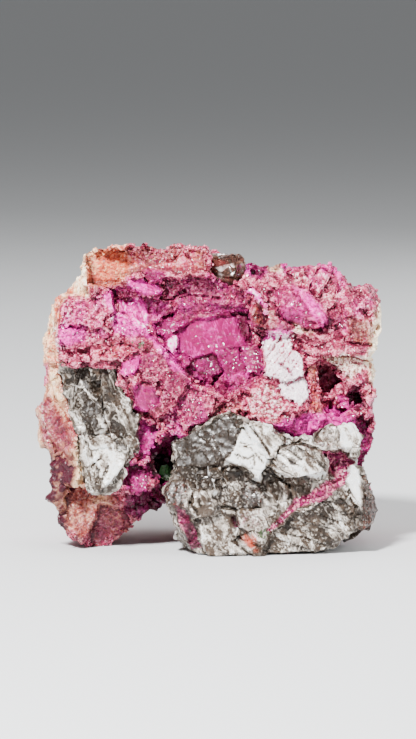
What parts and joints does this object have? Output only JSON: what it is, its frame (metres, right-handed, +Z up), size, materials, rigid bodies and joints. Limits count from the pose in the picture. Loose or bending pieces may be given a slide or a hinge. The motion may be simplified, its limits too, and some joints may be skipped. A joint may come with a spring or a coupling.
{
  "type": "cobaltoan calcite specimen",
  "caption": "Hand specimen of pink and magenta cobaltoan calcite grown together with smoky grey calcite, standing on its lobes with the crystalline face to the front.",
  "frame": {"origin": "on the surface the specimen stands on, below the middle of its bounding box", "axes": "+Z up; the crystalline face of the picture looks along -Y and leans back 6 degrees; +X to the right of that face"},
  "size_m": [0.0542, 0.0356, 0.0478],
  "materials": {
    "pink_calcite": "granular, sparkling, with glossy magenta cleavage faces and a cream to tan weathered rind",
    "grey_calcite": "translucent smoky grey, glassy cleavage with white veils",
    "clear_calcite": "translucent brownish grey, glassy",
    "crust": "small glassy deep magenta crystals",
    "green_crystal": "glassy dark green"
  },
  "bodies": {
    "root": {"pink_calcite": "pink_calcite", "grey_calcite_right": "grey_calcite", "grey_calcite_left": "grey_calcite", "clear_crystal": "clear_calcite", "hollow_crust": "crust", "green_crystal": "green_crystal"}
  },
  "joints": []
}
